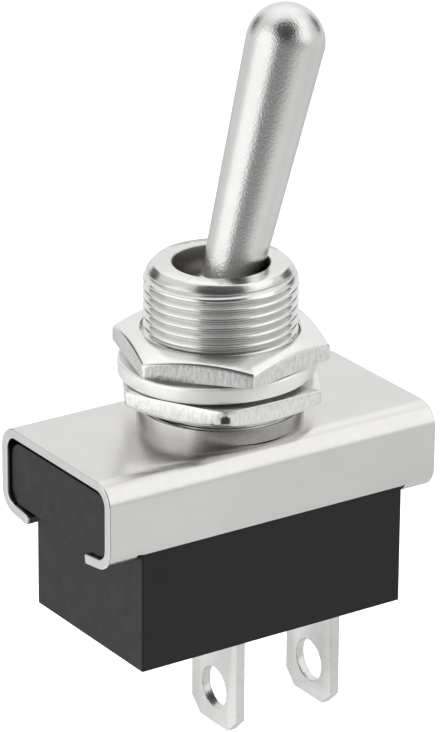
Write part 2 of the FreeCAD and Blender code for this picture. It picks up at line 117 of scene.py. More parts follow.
def ramp(tree, value, stops):
    """Turns a value into a colour by stops of (place, colour)."""
    made = shader_node(tree, "ValToRGB", Fac=value)
    elements = made.color_ramp.elements
    while len(elements) < len(stops):
        elements.new(0.5)
    for element, (place, colour) in zip(elements, stops):
        element.position = place
        element.color = tuple(colour) + (1.0,)
    return made.outputs["Color"]


def spread(tree, value, low, high, start=0.3, end=0.7, change="LINEAR"):
    """Spreads what lies from start to end, here the middle of a noise, from low to high."""
    made = shader_node(tree, "MapRange", {"interpolation_type": change}, Value=value,
                       From_Min=start, From_Max=end, To_Min=low, To_Max=high)
    return made.outputs["Result"]


def shades(colour, *levels):
    """The same colour at several levels of brightness, spaced over a ramp."""
    last = len(levels) - 1
    return [(k / last, tuple(min(1.0, c * level) for c in colour))
            for k, level in enumerate(levels)]


def plating(name, colour, rough, ripple, ripple_waves, blotch=0.04, stretch=(1, 1, 1),
            grain=2.0, metal=1.0):
    """Nickel plate: cloudy in tone, with a fine ripple so many millimetres high."""
    made = bpy.data.materials.new(name)
    made.use_nodes = True
    tree = made.node_tree
    surface = tree.nodes["Principled BSDF"]
    surface.inputs["Metallic"].default_value = metal
    clouds = spread(tree, noise(tree, waves=0.22, detail=5.0), 0.0, 1.0)
    tone = ramp(tree, clouds, shades(colour, 1.0 - blotch, 1.0, 1.0 + blotch))
    haze = spread(tree, noise(tree, waves=1.6, detail=6.0), rough - 0.03, rough + 0.04)
    bump = shader_node(tree, "Bump", Strength=1.0, Distance=ripple * 0.001,
                       Height=noise(tree, ripple_waves, grain, stretch))
    feed(tree, surface.inputs["Base Color"], tone)
    feed(tree, surface.inputs["Roughness"], haze)
    feed(tree, surface.inputs["Normal"], bump.outputs["Normal"])
    return made


def piece(name, points, faces, material, body, node, sharp=SMOOTH_ANGLE):
    """A piece with its points in millimetres. It takes the place of its CAD node."""
    mesh = bpy.data.meshes.new(name)
    mesh.from_pydata([[c * 0.001 for c in p] for p in points], [], faces)
    shell = bmesh.new()
    shell.from_mesh(mesh)
    bmesh.ops.remove_doubles(shell, verts=shell.verts, dist=SAME_POINT * 0.001)
    bmesh.ops.dissolve_degenerate(shell, edges=shell.edges, dist=NO_LENGTH * 0.001)
    bmesh.ops.recalc_face_normals(shell, faces=shell.faces)
    shell.to_mesh(mesh)
    shell.free()
    mesh.polygons.foreach_set("use_smooth", [True] * len(mesh.polygons))
    mesh.set_sharp_from_angle(angle=math.radians(sharp))
    mesh.materials.append(material)
    made = bpy.data.objects.new(name, mesh)
    bpy.context.scene.collection.objects.link(made)
    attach(made, body)
    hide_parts(node)
    return made


def soften_edges(made, width, segments):
    """Rounds the sharp edges of a piece as tumbling and plating do."""
    bevel = made.modifiers.new("edge rounding", "BEVEL")
    bevel.width = width * 0.001
    bevel.segments = segments
    bevel.limit_method = "ANGLE"
    bevel.angle_limit = math.radians(EDGE_ANGLE)
    bevel.harden_normals = True
    bevel.use_clamp_overlap = True
    return bevel


sheet_nickel = plating("satin nickel on sheet", (0.78, 0.772, 0.755), rough=0.23, ripple=0.003,
                       ripple_waves=2.0, blotch=0.025)

upper_rows = [(y, PLATE_TOP) for y in PLATE_ROWS]
upper_rows += bend(HALF_WIDTH - PLATE_BEND, PLATE_TOP - PLATE_BEND, PLATE_BEND, 90, 0,
                   PLATE_BEND_STEPS)
tear = math.degrees(math.asin((TAB_BEND_HEIGHT - WALL_END) / TAB_BEND))
upper_rows += bend(HALF_WIDTH - TAB_BEND, TAB_BEND_HEIGHT, TAB_BEND, 0, -tear,
                   WALL_BEND_STEPS)
lip_rows = bend(HALF_WIDTH - TAB_BEND, TAB_BEND_HEIGHT, TAB_BEND, -tear, -TAB_ANGLE,
                TAB_BEND_STEPS)
fold_y, fold_z = lip_rows[-1]
droop = (fold_y - LIP_EDGE) / math.tan(math.radians(TAB_ANGLE))
lip_rows += [(LIP_EDGE, fold_z - droop)]
wall_reach = TAB_START - TAB_BLEND
columns = [-HALF_LENGTH, -TAB_START, -wall_reach, wall_reach, TAB_START, HALF_LENGTH]
wall_columns = (2, 3)
last_span = len(columns) - 2

# The sheet runs down each side in strips. Only the end strips go on as tabs, and the wall
# between them stays straight.
points = []
faces = []
for side in (-1, 1):
    for rows, spans in ((upper_rows, range(last_span + 1)), (lip_rows, (0, last_span))):
        for span in spans:
            for (y0, z0), (y1, z1) in zip(rows, rows[1:]):
                first = len(points)
                for column, y, z in ((span, y0, z0), (span + 1, y0, z0),
                                     (span + 1, y1, z1), (span, y1, z1)):
                    if column in wall_columns and z < TAB_BEND_HEIGHT:
                        y = HALF_WIDTH
                    points.append((columns[column], side * y, z))
                faces.append((first, first + 1, first + 2, first + 3))
channel = piece("frame_channel", points, faces, sheet_nickel, "switch_body", "frame")
fold = channel.modifiers.new("sheet thickness", "SOLIDIFY")
fold.thickness = SHEET * 0.001
fold.offset = -1.0
fold.use_even_offset = True
thick = channel.evaluated_get(bpy.context.evaluated_depsgraph_get())
channel.data = bpy.data.meshes.new_from_object(thick)
channel.modifiers.clear()

# The tabs' ends are rounder than the other cut edges.
shell = bmesh.new()
shell.from_mesh(channel.data)
weight = shell.edges.layers.float.new("bevel_weight_edge")
for edge in shell.edges:
    on_lip_end = all(abs(v.co.y) < (LIP_EDGE + LIP_END_BAND) * 0.001
                     and v.co.z < LIP_TOP * 0.001 for v in edge.verts)
    if len(edge.link_faces) == 2 and edge.calc_face_angle() > math.radians(CUT_EDGE_ANGLE):
        edge[weight] = 1.0 if on_lip_end else CUT_EDGE_ROUND / LIP_END_ROUND
shell.to_mesh(channel.data)
shell.free()
channel.data.set_sharp_from_angle(angle=math.radians(SMOOTH_ANGLE))
soften_edges(channel, LIP_END_ROUND, segments=4).limit_method = "WEIGHT"


# Bushing: turned from bar, with a 12 mm fine thread of 0.75 mm pitch, and plated with bright
# nickel. It is staked to the plate from below, and the lever's ball sits in its bore.

BUSHING_TOP = 5.33
THREAD_RADIUS = 6.0
THREAD_ROOT = 5.54
PITCH = 0.75
THREAD_CREST = 0.17
THREAD_FLANK = 0.66
ROOT_PAINTED_SHADE = 0.79
LEAD_IN = 0.83
LEAD_IN_HEIGHT = 1.3
LEAD_IN_BULGE = 1.25
LEAD_IN_SHADE = 0.35
MOUTH_RADIUS = 3.8
MOUTH_ROUND = ((0.05, 0.0), (0.03, 0.04), (-0.02, 0.05))
MOUTH_SHADE = 0.025
THROAT_RADIUS = 3.3
THROAT_HEIGHT = 2.954
SEAT_RADIUS = 4.08
SEAT_HEIGHT = 1.487
SEAT_END = -3.7
BARREL_BORE = 4.2
RIM_END = -8.57
RIM_END_RADIUS = 4.75
RIM_TOP = -8.12
RIM_RADIUS = 4.95
NECK_RADIUS = 4.65
FOOT_RADIUS = 6.5
FOOT_TOP = -6.1
FOOT_ROUND = ((0.0, 0.12), (0.04, 0.03), (0.14, 0.0))
TURNS_AROUND = 128
ROWS_PER_TURN = 12


def thread_depth(phase):
    """How far the thread is cut below its crest, from 0 to 1, over one turn's height."""
    distance = abs((phase % 1.0) - 0.5) * 2.0
    return 1.0 - min(1.0, max(0.0, (distance - THREAD_CREST) / THREAD_FLANK))


def vector_math(tree, operation, first, second=None):
    """The result of one operation on one or two vectors."""
    made = shader_node(tree, "VectorMath", {"operation": operation})
    feed(tree, made.inputs[0], first)
    if second is not None:
        feed(tree, made.inputs[1], second)
    one_number = operation in ("DISTANCE", "LENGTH", "DOT_PRODUCT")
    return made.outputs["Value" if one_number else "Vector"]


def blend_in(material, amount, colour, way="MIX"):
    """Blends a colour into the one that a material has."""
    tree = material.node_tree
    own = tree.nodes["Principled BSDF"].inputs["Base Color"]
    mixed = shader_node(tree, "Mix", {"data_type": "RGBA", "blend_type": way}, Factor=amount)
    feed(tree, mixed.inputs[6], own.links[0].from_socket)
    feed(tree, mixed.inputs[7], colour)
    feed(tree, own, mixed.outputs[2])


def dark_patch(material, place, reach, bare, core=0.75):
    """A dark patch round a place on the piece, which fades outside its core. On the foot it is
    painted shade.
    """
    tree = material.node_tree
    on_piece = shader_node(tree, "TexCoord").outputs["Object"]
    away = vector_math(tree, "DISTANCE", on_piece, [c * 0.001 for c in place])
    ragged = spread(tree, noise(tree, waves=3.0, detail=3.0), -0.2 * reach, 0.2 * reach)
    edge = shader_node(tree, "Math", {"operation": "MULTIPLY_ADD"})
    for socket, value in zip(edge.inputs, (away, 1000.0, ragged)):
        feed(tree, socket, value)
    mask = spread(tree, edge.outputs["Value"], 1.0, 0.0, core * reach, 1.05 * reach)
    blend_in(material, mask, tuple(bare) + (1.0,))


def round_faces(rings, around, closed=False):
    """Faces between rings of points that go once round."""
    made = []
    last = rings if closed else rings - 1
    for ring in range(last):
        for k in range(around):
            a = ring * around + k
            b = ring * around + (k + 1) % around
            up = ((ring + 1) % rings) * around
            made.append((a, b, up + (k + 1) % around, up + k))
    return made


def turned(outline, around):
    """The rings of points that an outline of (radius, height) makes about the axis."""
    made = []
    for radius, height in outline:
        for k in range(around):
            a = 2 * math.pi * k / around
            made.append((radius * math.cos(a), radius * math.sin(a), height))
    return made


bright_nickel = plating("bright nickel on turned steel", (0.86, 0.855, 0.84), rough=0.17,
                        ripple=0.006, ripple_waves=3.0)
# Painted shade: the bore's inside has a darker colour that stands for the shade falling into it.
bore_painted_shade = plating("dull nickel inside the bore, darkened as painted shade", (0.46, 0.45, 0.435), rough=0.42, ripple=0.01,
                      ripple_waves=2.0, blotch=0.10)
# Painted shade: the foot's darker colour, and the large dark patch on its front, stand for the
# shade under the lower nut.
foot_painted_shade = plating("satin nickel on the foot, darkened as painted shade", (0.63, 0.62, 0.603), rough=0.30, ripple=0.006,
                      ripple_waves=2.0, blotch=0.08)
dark_patch(foot_painted_shade, (-0.4, -6.5, -6.7), reach=5.6, bare=(0.40, 0.39, 0.375), core=0.0)
# Painted shade: the thread's colour darkens towards the roots of its turns, for the shade between
# them.
thread_nickel = plating("bright nickel on the thread", (0.92, 0.915, 0.90), rough=0.17,
                        ripple=0.006, ripple_waves=3.0)
tree = thread_nickel.node_tree
on_thread = shader_node(tree, "TexCoord").outputs["Object"]
across = vector_math(tree, "MULTIPLY", on_thread, (1000.0, 1000.0, 0.0))
from_axis = vector_math(tree, "LENGTH", across)
blend_in(thread_nickel, 1.0,
         spread(tree, from_axis, ROOT_PAINTED_SHADE, 1.0, THREAD_ROOT, THREAD_RADIUS), "MULTIPLY")

shoulder = BUSHING_TOP - LEAD_IN_HEIGHT
corner_radius = THREAD_RADIUS - LEAD_IN
thread_rows = int((BUSHING_TOP - FOOT_TOP) / PITCH + 2) * ROWS_PER_TURN

# The thread climbs one pitch for each time round, and is trimmed flat at both ends.
points = []
faces = []
for row in range(thread_rows + 1):
    for k in range(TURNS_AROUND + 1):
        turn = k / TURNS_AROUND
        z = FOOT_TOP + PITCH * (row / ROWS_PER_TURN - 1.0 + turn)
        z = min(max(z, FOOT_TOP), BUSHING_TOP)
        cut = thread_depth(z / PITCH - turn)
        radius = THREAD_RADIUS - (THREAD_RADIUS - THREAD_ROOT) * cut
        if z > shoulder:
            up = min(1.0, (z - shoulder) / LEAD_IN_HEIGHT)
            out = (1.0 - up ** LEAD_IN_BULGE) ** (1.0 / LEAD_IN_BULGE)
            radius = min(radius, corner_radius + LEAD_IN * out)
        points.append((radius * math.cos(2 * math.pi * turn),
                       radius * math.sin(2 * math.pi * turn), z))
around = TURNS_AROUND + 1
for row in range(thread_rows):
    for k in range(TURNS_AROUND):
        a = row * around + k
        faces.append((a, a + 1, a + 1 + around, a + around))

inside = [(corner_radius, BUSHING_TOP)]
inside += [(MOUTH_RADIUS + outward, BUSHING_TOP - down) for outward, down in MOUTH_ROUND]
inside += [(THROAT_RADIUS, THROAT_HEIGHT), (SEAT_RADIUS, SEAT_HEIGHT), (SEAT_RADIUS, SEAT_END),
           (BARREL_BORE, SEAT_END), (BARREL_BORE, RIM_END), (RIM_END_RADIUS, RIM_END),
           (RIM_RADIUS, RIM_TOP), (NECK_RADIUS, RIM_TOP), (NECK_RADIUS, PLATE_TOP),
           (FOOT_RADIUS, PLATE_TOP)]
inside += [(FOOT_RADIUS - inward, FOOT_TOP - down) for inward, down in FOOT_ROUND]
inside += [(THREAD_RADIUS, FOOT_TOP)]
points += turned(inside, TURNS_AROUND)
offset = (thread_rows + 1) * around
for face in round_faces(len(inside), TURNS_AROUND):
    faces.append(tuple(offset + k for k in face))
bushing = piece("threaded_bushing", points, faces, bright_nickel, "switch_body", "bushing",
                sharp=40)
for plate in (bore_painted_shade, foot_painted_shade, thread_nickel):
    bushing.data.materials.append(plate)
# The bore's faces take its painted shade, the faces below the foot's top take the foot's painted
# shade, and the thread's faces take the thread's painted shade in its roots.
for face in bushing.data.polygons:
    reach = math.hypot(face.center.x, face.center.y) * 1000.0
    height = face.center.z * 1000.0
    if reach < MOUTH_RADIUS + MOUTH_SHADE and height < BUSHING_TOP - MOUTH_SHADE:
        face.material_index = 1
    elif height < FOOT_TOP:
        face.material_index = 2
    elif reach > corner_radius and height < BUSHING_TOP - LEAD_IN_SHADE:
        face.material_index = 3


# Lower nut: a thin hexagon nut with rounded corners, chamfered below and plated with bright
# nickel. It is screwed down the thread to set the switch's depth, and carries the washer.

NUT_FLAT = 7.5
NUT_FACE = 6.65
NUT_SLOPE = 21.0
NUT_BORE = 5.82
NUT_COUNTERSINK = 0.45
NUT_CORNER_ROUND = 0.4
NUT_EDGE = 0.08
NUT_SHOULDER = 0.38
NUT_CORNER_SPAN = 3
NUT_CORNER_STEPS = 3
NUT_SIDE_STEPS = 20
NUT_SHOULDER_STEPS = 4
FLAT_TILT = 0.3


def nut_outline(corner_angle):
    """Angles and radii round a hexagon with rounded corners, with more points near them."""
    made = []
    reach = NUT_FLAT / math.cos(math.radians(30))
    centre = reach - NUT_CORNER_ROUND / math.cos(math.radians(30))
    for side in range(6):
        base_angle = corner_angle + 60 * side
        a = math.radians(base_angle)
        for step in range(-NUT_CORNER_STEPS, NUT_CORNER_STEPS + 1):
            turn = a + math.radians(30 * step / NUT_CORNER_STEPS)
            x = centre * math.cos(a) + NUT_CORNER_ROUND * math.cos(turn)
            y = centre * math.sin(a) + NUT_CORNER_ROUND * math.sin(turn)
            made.append((math.atan2(y, x), math.hypot(x, y)))
        for step in range(1, NUT_SIDE_STEPS):
            along = NUT_CORNER_SPAN + (60 - 2 * NUT_CORNER_SPAN) * step / NUT_SIDE_STEPS
            made.append((math.radians(base_angle + along),
                         NUT_FLAT / math.cos(math.radians(along - 30))))
    return made


def nut(name, node, low, high, corner_angle, chamfer_up, plate, flats, dent=None):
    """One nut. A dent is given by its angle, its depth and how far it reaches round."""
    outline = nut_outline(corner_angle)
    slope = math.tan(math.radians(NUT_SLOPE))
    end, start, way = (high, low, 1.0) if chamfer_up else (low, high, -1.0)
    e = NUT_EDGE
    run = NUT_SHOULDER * math.tan(math.radians(45 - NUT_SLOPE / 2))
    arc = bend(-NUT_SHOULDER, -run, NUT_SHOULDER, 0, 90 - NUT_SLOPE, NUT_SHOULDER_STEPS)
    columns = []
    for angle, reach in outline:
        dip = 0.0
        if dent:
            away = math.degrees((angle - math.radians(dent[0]) + math.pi)
                                % (2 * math.pi) - math.pi)
            dip = dent[1] * max(0.0, 1.0 - (away / dent[2]) ** 2)
        side_top = end - way * (reach - NUT_FACE) * slope
        foot = reach - dip / 2
        column = [(NUT_BORE, end - way * NUT_COUNTERSINK), (NUT_BORE, start), (foot - e, start),
                  (foot - 0.3 * e, start + way * 0.3 * e), (foot, start + way * e)]
        column += [(reach - dip + out, side_top + way * up) for out, up in arc]
        column += [(NUT_FACE + 2 * e, end - way * 2 * e * slope), (NUT_FACE - 2 * e, end),
                   (NUT_BORE + NUT_COUNTERSINK, end)]
        columns.append([(radius * math.cos(angle), radius * math.sin(angle), z)
                        for radius, z in column])
    rings = list(zip(*columns))
    hexagon = piece(name, [point for ring in rings for point in ring],
                    round_faces(len(rings), len(outline), closed=True), plate, "switch_body",
                    node, sharp=38)
    hexagon.data.materials.append(flats)
    for face in hexagon.data.polygons:
        reach = math.hypot(face.center.x, face.center.y) * 1000.0
        if abs(face.normal.z) < FLAT_TILT and reach > NUT_FACE:
            face.material_index = 1


def streak(material, waves, dark):
    """Fine dark streaks up a plated face, as drawing the bar leaves them."""
    tree = material.node_tree
    streaks = ramp(tree, noise(tree, waves, detail=4.0, stretch=(1.0, 1.0, 0.45)),
                   [(0.36, (dark, dark, dark)), (0.56, (1.0, 1.0, 1.0))])
    blend_in(material, 1.0, streaks, "MULTIPLY")


nut_nickel = plating("bright nickel on the nuts", (0.90, 0.895, 0.88), rough=0.19,
                     ripple=0.006, ripple_waves=2.6)
lower_flats = plating("nickel on the lower nut's flats", (0.98, 0.975, 0.96), rough=0.19,
                      ripple=0.034, ripple_waves=2.2, blotch=0.05, stretch=(1.0, 1.0, 0.55))
streak(lower_flats, waves=4.0, dark=0.86)
dark_patch(lower_flats, (-4.38, -7.25, -4.5), reach=0.46, bare=(0.10, 0.098, 0.095))
nut("lower_hex_nut", "lower_nut", low=-5.6, high=-3.7, corner_angle=-1.0, chamfer_up=False,
    plate=nut_nickel, flats=lower_flats, dent=(-121.0, 0.22, 3.0))


# Lock washer: a split spring washer of 1.3 mm square wire with rounded edges. It lies loose
# and a little askew between the two nuts.

WASHER_INNER = 6.38
WASHER_OUTER = 7.72
WASHER_THICKNESS = 1.3
WASHER_EDGE = 0.2
WASHER_HEIGHT = -2.8
WASHER_TILT = 1.65
WASHER_HIGH_SIDE = -34.0
WASHER_OFFSET = 0.25
WASHER_SPLIT = 0.9
SPLIT_ANGLE = 100.0
SPLIT_SLANT = 25.0
WASHER_EDGE_STEPS = 5
WASHER_STATIONS = 120

washer_nickel = plating("satin nickel on spring steel", (0.93, 0.925, 0.91), rough=0.34,
                        ripple=0.004, ripple_waves=1.5, stretch=(0.3, 0.3, 4.0), metal=0.78)

half = WASHER_THICKNESS / 2
section = []
for cx, cz, start in ((WASHER_OUTER - WASHER_EDGE, half - WASHER_EDGE, 0),
                      (WASHER_INNER + WASHER_EDGE, half - WASHER_EDGE, 90),
                      (WASHER_INNER + WASHER_EDGE, WASHER_EDGE - half, 180),
                      (WASHER_OUTER - WASHER_EDGE, WASHER_EDGE - half, 270)):
    section += bend(cx, cz, WASHER_EDGE, start, start + 90, WASHER_EDGE_STEPS)
middle_radius = (WASHER_INNER + WASHER_OUTER) / 2
half_split = WASHER_SPLIT / 2 / middle_radius
split = math.radians(SPLIT_ANGLE)
lag = math.tan(math.radians(SPLIT_SLANT)) / middle_radius

# The wire's section goes round from one side of the split to the other, and leans with it.
points = []
for station in range(WASHER_STATIONS + 1):
    a = split + half_split + 2 * (math.pi - half_split) * station / WASHER_STATIONS
    for radius, z in section:
        points.append((radius * math.cos(a - z * lag), radius * math.sin(a - z * lag), z))
faces = round_faces(WASHER_STATIONS + 1, len(section))
faces += [tuple(range(len(section))),
          tuple(WASHER_STATIONS * len(section) + k for k in reversed(range(len(section))))]
high = math.radians(WASHER_HIGH_SIDE)
lie = Matrix.Translation((-WASHER_OFFSET * math.cos(high), -WASHER_OFFSET * math.sin(high),
                          WASHER_HEIGHT))
lie @= Matrix.Rotation(math.radians(WASHER_TILT), 4,
                       Vector((math.sin(high), -math.cos(high), 0.0)))
piece("split_washer", [lie @ Vector(p) for p in points], faces, washer_nickel, "switch_body",
      "lock_washer", sharp=50)


# Upper nut: a thin hexagon nut like the lower one, plated with bright nickel. It clamps the
# switch to a panel, with its chamfer upwards, and stands on the washer.

upper_flats = plating("nickel on the upper nut's flats", (0.95, 0.945, 0.93), rough=0.20,
                      ripple=0.026, ripple_waves=2.6, blotch=0.05, stretch=(1.0, 1.0, 0.4))
streak(upper_flats, waves=4.5, dark=0.82)
nut("upper_hex_nut", "upper_nut", low=-1.9, high=0.0, corner_angle=13.0, chamfer_up=True,
    plate=nut_nickel, flats=upper_flats)


# Lever: turned from one bar, with a tapered bat above its ball and a bored stem below, and
# plated with satin nickel. Its ball turns in the bushing on a cross pin.

PIVOT_HEIGHT = 0.47
LEVER_LEAN = 15.0
LEVER_TIP = 22.19
TIP_RADIUS = 3.04
LEVER_TAPER = 2.29
BALL_RADIUS = 4.0
BALL_BELT = 6.0
STEM_RADIUS = 1.6
STEM_END = -10.6
STEM_BORE = 1.1
STEM_BORE_TOP = -3.4
LEVER_AROUND = 96
BALL_STEPS = 16
CONE_STEPS = 12
TIP_STEPS = 24
TIP_END_ANGLE = 89.0
AXIS_POINT = 0.001

lever_nickel = plating("satin nickel on the lever", (0.80, 0.797, 0.785), rough=0.13,
                       ripple=0.030, ripple_waves=6.0, grain=3.5)

# The neck is where the side of the cone meets the ball.
taper = math.radians(LEVER_TAPER)
tip_r = TIP_RADIUS * math.cos(taper)
tip_z = LEVER_TIP - TIP_RADIUS * math.sin(taper)
pivot_r = tip_r - math.tan(taper) * tip_z
slope = math.tan(taper)
square = 1 + slope ** 2
half_sum = pivot_r * slope
root = math.sqrt(half_sum ** 2 - square * (pivot_r ** 2 - BALL_RADIUS ** 2))
neck_z = (root - half_sum) / square
neck_angle = math.degrees(math.asin(neck_z / BALL_RADIUS))
belt_r = BALL_RADIUS * math.cos(math.radians(BALL_BELT))
belt_z = BALL_RADIUS * math.sin(math.radians(BALL_BELT))
outline = [(STEM_BORE, STEM_END), (STEM_RADIUS, STEM_END),
           (STEM_RADIUS, STEM_RADIUS - belt_r - belt_z), (belt_r, -belt_z)]
outline += bend(0.0, 0.0, BALL_RADIUS, BALL_BELT, neck_angle, BALL_STEPS)
for step in range(1, CONE_STEPS):
    z = neck_z + (tip_z - neck_z) * step / CONE_STEPS
    outline.append((pivot_r + slope * z, z))
outline += bend(0.0, LEVER_TIP, TIP_RADIUS, -LEVER_TAPER, TIP_END_ANGLE, TIP_STEPS)
outline += [(AXIS_POINT, LEVER_TIP + TIP_RADIUS), (AXIS_POINT, STEM_BORE_TOP),
            (STEM_BORE, STEM_BORE_TOP)]
points = turned(outline, LEVER_AROUND)
faces = round_faces(len(outline), LEVER_AROUND, closed=True)
lean = Matrix.Translation((0.0, 0.0, PIVOT_HEIGHT)) @ Matrix.Rotation(
    math.radians(LEVER_LEAN), 4, "Y")
piece("bat_lever", [lean @ Vector(p) for p in points], faces, lever_nickel, "lever_body",
      "lever", sharp=50)


# Base: a black moulding of slightly matt thermoset. Its flange is held in the channel by the
# folded tabs, and its narrower body hangs below with the contacts inside.

GRAIN_HEIGHT = 0.03


def moulded(name, colour, rough, grain, shine=0.5):
    """Moulded plastic with a fine grain and faint flow marks."""
    made = bpy.data.materials.new(name)
    made.use_nodes = True
    tree = made.node_tree
    surface = tree.nodes["Principled BSDF"]
    surface.inputs["Specular IOR Level"].default_value = shine
    flow = spread(tree, noise(tree, waves=0.35, detail=6.0), 0.0, 1.0)
    tone = ramp(tree, flow, shades(colour, 0.82, 1.0, 1.25))
    haze = spread(tree, noise(tree, waves=0.8, detail=4.0), rough - 0.06, rough + 0.08)
    bump = shader_node(tree, "Bump", Strength=grain, Distance=GRAIN_HEIGHT * 0.001,
                       Height=noise(tree, waves=5.0, detail=4.0))
    feed(tree, surface.inputs["Base Color"], tone)
    feed(tree, surface.inputs["Roughness"], haze)
    feed(tree, surface.inputs["Normal"], bump.outputs["Normal"])
    return made


def dress(node, material):
    """Gives a CAD node its material."""
    kept = nodes[node]
    for slot in range(len(kept.material_slots)):
        kept.material_slots[slot].material = material
    if not kept.material_slots:
        kept.data.materials.append(material)
    return kept


dress("base", moulded("black thermoset", (0.004, 0.004, 0.0042), rough=0.38, grain=0.2,
                      shine=0.37))


# Insulating card: thin dark pressed board, punched to clear the bushing. It lies between the
# plate and the base, held by the folded frame.

dress("insulator_card", moulded("pressed board", (0.06, 0.055, 0.05), rough=0.75, grain=0.5))


# Blade terminals: stamped from 0.8 mm sheet and plated bright, with a hole near the tip.
# Their shoulders stand on the base's floor inside, and their blades pass through its slots.

BLADE_EDGE = 0.1
BLADE_EDGE_STEPS = 3
FACET_GAP = 0.002
FACET_ANGLE = 0.5

blade_plate = plating("frosted plate on stamped strip", (0.80, 0.795, 0.785), rough=0.28,
                      ripple=0.022, ripple_waves=2.4, blotch=0.10, metal=0.9)


def rounded_node(node, material, width, segments):
    """A CAD node with its facets joined into clean faces and its sharp edges rounded."""
    kept = dress(node, material)
    weld = kept.modifiers.new("join facets", "WELD")
    weld.merge_threshold = FACET_GAP * 0.001
    flat = kept.modifiers.new("clean faces", "DECIMATE")
    flat.decimate_type = "DISSOLVE"
    flat.angle_limit = math.radians(FACET_ANGLE)
    soften_edges(kept, width, segments)
    kept.data.polygons.foreach_set("use_smooth", [True] * len(kept.data.polygons))
    return kept


for blade in ("centre_terminal", "side_terminal"):
    rounded_node(blade, blade_plate, BLADE_EDGE, BLADE_EDGE_STEPS)


# Contacts and rocker: a bent strip of bare copper alloy that tips over the middle terminal.
# One silver rivet is set in its arm, and the other in the shelf of the side terminal.

def drawn_metal(name, colour, rough):
    """Bare metal, drawn or ground, a little tarnished."""
    return plating(name, colour, rough, ripple=0.004, ripple_waves=2.5, blotch=0.12)


silver = drawn_metal("contact silver", (0.86, 0.85, 0.82), rough=0.28)
dress("fixed_contact", silver)
dress("moving_contact", silver)
dress("rocker", drawn_metal("copper alloy strip", (0.76, 0.55, 0.30), rough=0.30))


# Plunger, its spring and the cross pin: a moulded plunger slides in the lever's stem under a
# spring wound from steel wire, which shortens as the plunger goes in. A ground steel pin
# carries the ball.

COIL_RADIUS = 0.88
WIRE_RADIUS = 0.15
COIL_TOP = -3.58
COIL_BOTTOM = -6.92
COIL_TURNS = 6
COIL_RUNS = 24
WIRE_SIDES = 10

dress("plunger", moulded("natural plastic", (0.74, 0.70, 0.60), rough=0.35, grain=0.15))
steel = drawn_metal("bare steel", (0.56, 0.56, 0.56), rough=0.25)
dress("pivot_pin", steel)

points = []
runs = COIL_TURNS * COIL_RUNS
rise = (COIL_TOP - COIL_BOTTOM) / (2 * math.pi * COIL_TURNS * COIL_RADIUS)
for run in range(runs + 1):
    a = 2 * math.pi * run / COIL_RUNS
    out = Vector((math.cos(a), math.sin(a), 0.0))
    middle = out * COIL_RADIUS
    middle.z = COIL_BOTTOM + (COIL_TOP - COIL_BOTTOM) * run / runs
    across = Vector((math.sin(a) * rise, -math.cos(a) * rise, 1.0)).normalized()
    for side in range(WIRE_SIDES):
        b = 2 * math.pi * side / WIRE_SIDES
        points.append(middle + WIRE_RADIUS * (math.cos(b) * out + math.sin(b) * across))
faces = round_faces(runs + 1, WIRE_SIDES)
faces += [tuple(range(WIRE_SIDES)),
          tuple(runs * WIRE_SIDES + side for side in reversed(range(WIRE_SIDES)))]
coil = piece("plunger_coil", [lean @ p for p in points], faces, steel, "lever_body",
             "plunger_spring", sharp=50)
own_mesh(coil)


# Floor: a wide pale board below the blades' tips. It shows as white in the view, keeps the
# switch's soft shadow, and is mirrored in the plating in broad pale and grey bands.

FLOOR_HEIGHT = -52.0
FLOOR_REACH = 400.0
FLOOR_LIFT = 0.30
FLOOR_GLOW = 0.62
# Each place is a direction, round and up, how far away it begins and is complete, all in
# degrees, and its level.
LEFT_GLOW = (178, 0, 50, 12, 0.36)
BACK_GLOW = (126, 0, 30, 8, 0.16)
RIGHT_GLOW = (318, 0, 62, 20, 0.15)
FRONT_SHADE = (228, 0, 40, 12, 0.66)
RIGHT_SHADE = (325, 0, 30, 10, 0.90)


def compass(azimuth, elevation):
    """A direction, from degrees round the Z axis and degrees above the horizon."""
    a = math.radians(azimuth)
    e = math.radians(elevation)
    return math.cos(a) * math.cos(e), math.sin(a) * math.cos(e), math.sin(e)


def sector(tree, way, place, outside=0.0, change="SMOOTHSTEP"):
    """A value that goes from outside to the level of a place as a direction nears it."""
    azimuth, elevation, edge, core, level = place
    near = vector_math(tree, "DOT_PRODUCT", way, compass(azimuth, elevation))
    return spread(tree, near, outside, level, math.cos(math.radians(edge)),
                  math.cos(math.radians(core)), change)


def joined(tree, operation, *values):
    """Several values put together by one kind of sum."""
    total = values[0]
    for value in values[1:]:
        made = shader_node(tree, "Math", {"operation": operation})
        feed(tree, made.inputs[0], total)
        feed(tree, made.inputs[1], value)
        total = made.outputs["Value"]
    return total


reach = FLOOR_REACH * 0.001
floor_mesh = bpy.data.meshes.new("floor")
floor_mesh.from_pydata([(x * reach, y * reach, FLOOR_HEIGHT * 0.001)
                        for x, y in ((-1, -1), (1, -1), (1, 1), (-1, 1))], [], [(0, 1, 2, 3)])
floor = bpy.data.objects.new("floor", floor_mesh)
bpy.context.scene.collection.objects.link(floor)
paint = bpy.data.materials.new("pale board")
paint.use_nodes = True
tree = paint.node_tree
tree.nodes.remove(tree.nodes["Principled BSDF"])
board = shader_node(tree, "BsdfDiffuse", Color=(0.80, 0.80, 0.80, 1.0))
path = shader_node(tree, "LightPath")
on_floor = shader_node(tree, "TexCoord").outputs["Object"]
way = vector_math(tree, "NORMALIZE",
                  vector_math(tree, "MULTIPLY", on_floor, (1.0, 1.0, 0.0)))
in_metal = joined(tree, "ADD", FLOOR_GLOW, sector(tree, way, LEFT_GLOW),
                  sector(tree, way, BACK_GLOW), sector(tree, way, RIGHT_GLOW))
in_metal = joined(tree, "MULTIPLY", in_metal, sector(tree, way, FRONT_SHADE, outside=1.0),
                  sector(tree, way, RIGHT_SHADE, outside=1.0))
